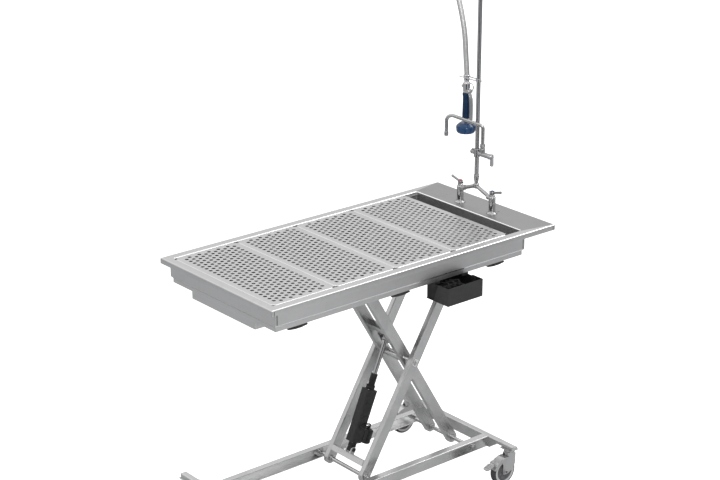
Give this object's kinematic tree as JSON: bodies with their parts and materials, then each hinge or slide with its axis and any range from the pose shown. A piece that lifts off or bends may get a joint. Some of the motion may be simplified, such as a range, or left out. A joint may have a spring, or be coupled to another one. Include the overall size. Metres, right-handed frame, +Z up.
{
  "type": "veterinary exam table",
  "caption": "Stainless wet exam table with perforated trays over a drained tub, on a mobile electric scissor lift, with a deck faucet, swing nozzle and spray hose.",
  "frame": {"origin": "on the floor, midway along the table top and midway between the back edge of the top and the front of the control box", "axes": "+X along the table towards the faucet, +Y across it to the back, +Z up"},
  "size_m": [1.524, 0.805, 2.3296],
  "materials": {
    "stainless": "brushed stainless sheet and tube",
    "tray_stainless": "bright brushed stainless sheet",
    "drain_chrome": "polished stainless strainer and tube",
    "nylon": "dark moulded nylon",
    "zinc": "bright zinc plated steel",
    "box_black": "satin black enamelled sheet",
    "actuator_black": "black moulded housing",
    "rod_chrome": "hard chromed rod",
    "faucet_chrome": "polished chrome",
    "hose": "grey sheathed flexible hose",
    "blue_rubber": "dark blue rubber",
    "tyre": "grey rubber tyre on a moulded rim"
  },
  "bodies": {
    "base": {"base_rail_front": "stainless", "base_rail_back": "stainless", "cross_member_left": "stainless", "cross_member_right": "stainless", "lower_axle": "zinc", "caster_plates": "zinc"},
    "inner_legs": {"inner_leg_front": "stainless", "inner_leg_back": "stainless", "inner_cross_bar": "stainless"},
    "outer_legs": {"outer_leg_front": "stainless", "outer_leg_back": "stainless", "outer_cross_member": "stainless", "centre_axle": "zinc"},
    "platform": {"tub": "stainless", "skirt": "stainless", "support_frame": "stainless", "drain": "drain_chrome", "tie_down_cleats": "nylon", "lift_channel_front": "stainless", "lift_channel_back": "stainless", "lift_channel_caps": "stainless", "upper_axle": "zinc", "control_box": "box_black", "power_supply": "box_black", "hot_valve": "faucet_chrome", "cold_valve": "faucet_chrome", "faucet_yoke": "faucet_chrome", "riser_coupling": "faucet_chrome", "riser_pipe": "faucet_chrome", "add_on_faucet": "faucet_chrome", "hose_hook": "faucet_chrome", "overhead_spring": "faucet_chrome", "spray_hose": "hose", "spray_valve": "faucet_chrome", "spray_grip": "blue_rubber", "spray_bumper": "blue_rubber"},
    "upper_roller_axle": {"upper_rollers": "nylon"},
    "lower_roller_axle": {"lower_rollers": "nylon"},
    "actuator": {"actuator_housing": "actuator_black", "actuator_motor": "actuator_black"},
    "rod": {"actuator_rod": "rod_chrome"},
    "tray_1": {"tray_1": "tray_stainless"},
    "tray_2": {"tray_2": "tray_stainless"},
    "tray_3": {"tray_3": "tray_stainless"},
    "tray_4": {"tray_4": "tray_stainless"},
    "hot_lever": {"hot_lever": "faucet_chrome"},
    "cold_lever": {"cold_lever": "faucet_chrome"},
    "swing_nozzle": {"swing_nozzle": "faucet_chrome"},
    "nozzle_lever": {"nozzle_lever": "faucet_chrome"},
    "spray_trigger": {"spray_trigger": "faucet_chrome"},
    "fork_1": {"caster_fork_1": "zinc"},
    "wheel_1": {"caster_wheel_1": "tyre"},
    "fork_2": {"caster_fork_2": "zinc"},
    "wheel_2": {"caster_wheel_2": "tyre"},
    "fork_3": {"caster_fork_3": "zinc"},
    "wheel_3": {"caster_wheel_3": "tyre"},
    "fork_4": {"caster_fork_4": "zinc"},
    "wheel_4": {"caster_wheel_4": "tyre"},
    "brake_pedal_1": {"brake_pedal_1": "zinc"},
    "brake_pedal_2": {"brake_pedal_2": "zinc"}
  },
  "joints": [
    {"name": "lift", "type": "hinge", "parent": "base", "child": "inner_legs", "pos_m": [0.458, 0.0275, 0.15], "axis": [0, -1, 0], "range_deg": [0, 44.8]},
    {"name": "leg_cross", "type": "hinge", "parent": "inner_legs", "child": "outer_legs", "pos_m": [0.18503, 0.0275, 0.6043], "axis": [0, -1, 0], "range_deg": [-89.61, 0]},
    {"name": "platform_level", "type": "hinge", "parent": "outer_legs", "child": "platform", "pos_m": [0.458, 0.0275, 1.0586], "axis": [0, -1, 0], "range_deg": [0, 44.81]},
    {"name": "lower_roller_spin", "type": "hinge", "parent": "outer_legs", "child": "lower_roller_axle", "pos_m": [-0.08794, 0.0275, 0.15], "axis": [0, 1, 0], "continuous": true},
    {"name": "upper_roller_spin", "type": "hinge", "parent": "inner_legs", "child": "upper_roller_axle", "pos_m": [-0.08794, 0.0275, 1.0586], "axis": [0, 1, 0], "continuous": true},
    {"name": "actuator_pivot", "type": "hinge", "parent": "outer_legs", "child": "actuator", "pos_m": [-0.06388, 0.0275, 0.22887], "axis": [0, -1, 0], "range_deg": [-3.5, 0]},
    {"name": "actuator_stroke", "type": "slide", "parent": "actuator", "child": "rod", "axis": [0.3891, 0, 0.9212], "range_m": [-0.14292, 0]},
    {"name": "tray_1_lift", "type": "slide", "parent": "platform", "child": "tray_1", "axis": [0, 0, 1], "range_m": [0, 0.15]},
    {"name": "tray_2_lift", "type": "slide", "parent": "platform", "child": "tray_2", "axis": [0, 0, 1], "range_m": [0, 0.15]},
    {"name": "tray_3_lift", "type": "slide", "parent": "platform", "child": "tray_3", "axis": [0, 0, 1], "range_m": [0, 0.15]},
    {"name": "tray_4_lift", "type": "slide", "parent": "platform", "child": "tray_4", "axis": [0, 0, 1], "range_m": [0, 0.15]},
    {"name": "hot_turn", "type": "hinge", "parent": "platform", "child": "hot_lever", "pos_m": [0.654, 0.1351, 1.2636], "axis": [0, 0, 1], "range_deg": [0, 90]},
    {"name": "cold_turn", "type": "hinge", "parent": "platform", "child": "cold_lever", "pos_m": [0.654, -0.0681, 1.2636], "axis": [0, 0, -1], "range_deg": [0, 90]},
    {"name": "nozzle_swing", "type": "hinge", "parent": "platform", "child": "swing_nozzle", "pos_m": [0.654, -0.0005, 1.4586], "axis": [0, 0, 1], "range_deg": [0, 120]},
    {"name": "nozzle_valve", "type": "hinge", "parent": "platform", "child": "nozzle_lever", "pos_m": [0.654, -0.0565, 1.4246], "axis": [0, 1, 0], "range_deg": [0, 90]},
    {"name": "trigger_squeeze", "type": "hinge", "parent": "platform", "child": "spray_trigger", "pos_m": [0.654, 0.0865, 1.6876], "axis": [1, 0, 0], "range_deg": [0, 2.6], "stiffness_Nm_per_rad": 6, "springref_deg": -2.86},
    {"name": "swivel_1", "type": "hinge", "parent": "base", "child": "fork_1", "pos_m": [0.566, -0.3075, 0.148], "axis": [0, 0, 1], "continuous": true},
    {"name": "wheel_1_spin", "type": "hinge", "parent": "fork_1", "child": "wheel_1", "pos_m": [0.528, -0.3075, 0.0625], "axis": [0, 1, 0], "continuous": true},
    {"name": "brake_1", "type": "hinge", "parent": "fork_1", "child": "brake_pedal_1", "pos_m": [0.472, -0.3075, 0.1145], "axis": [0, -1, 0], "range_deg": [0, 12]},
    {"name": "swivel_2", "type": "hinge", "parent": "base", "child": "fork_2", "pos_m": [0.566, 0.3625, 0.148], "axis": [0, 0, 1], "continuous": true},
    {"name": "wheel_2_spin", "type": "hinge", "parent": "fork_2", "child": "wheel_2", "pos_m": [0.528, 0.3625, 0.0625], "axis": [0, 1, 0], "continuous": true},
    {"name": "brake_2", "type": "hinge", "parent": "fork_2", "child": "brake_pedal_2", "pos_m": [0.472, 0.3625, 0.1145], "axis": [0, -1, 0], "range_deg": [0, 12]},
    {"name": "swivel_3", "type": "hinge", "parent": "base", "child": "fork_3", "pos_m": [-0.689, -0.3075, 0.148], "axis": [0, 0, 1], "continuous": true},
    {"name": "wheel_3_spin", "type": "hinge", "parent": "fork_3", "child": "wheel_3", "pos_m": [-0.651, -0.3075, 0.0625], "axis": [0, 1, 0], "continuous": true},
    {"name": "swivel_4", "type": "hinge", "parent": "base", "child": "fork_4", "pos_m": [-0.689, 0.3625, 0.148], "axis": [0, 0, 1], "continuous": true},
    {"name": "wheel_4_spin", "type": "hinge", "parent": "fork_4", "child": "wheel_4", "pos_m": [-0.651, 0.3625, 0.0625], "axis": [0, 1, 0], "continuous": true}
  ],
  "couplings": [
    {"joint": "leg_cross", "follows": "lift", "ratio": -2},
    {"joint": "platform_level", "follows": "lift", "ratio": 1},
    {"joint": "actuator_pivot", "follows": "lift", "ratio": -0.07791},
    {"joint": "actuator_stroke", "follows": "lift", "m_per_rad": -0.18265}
  ]
}
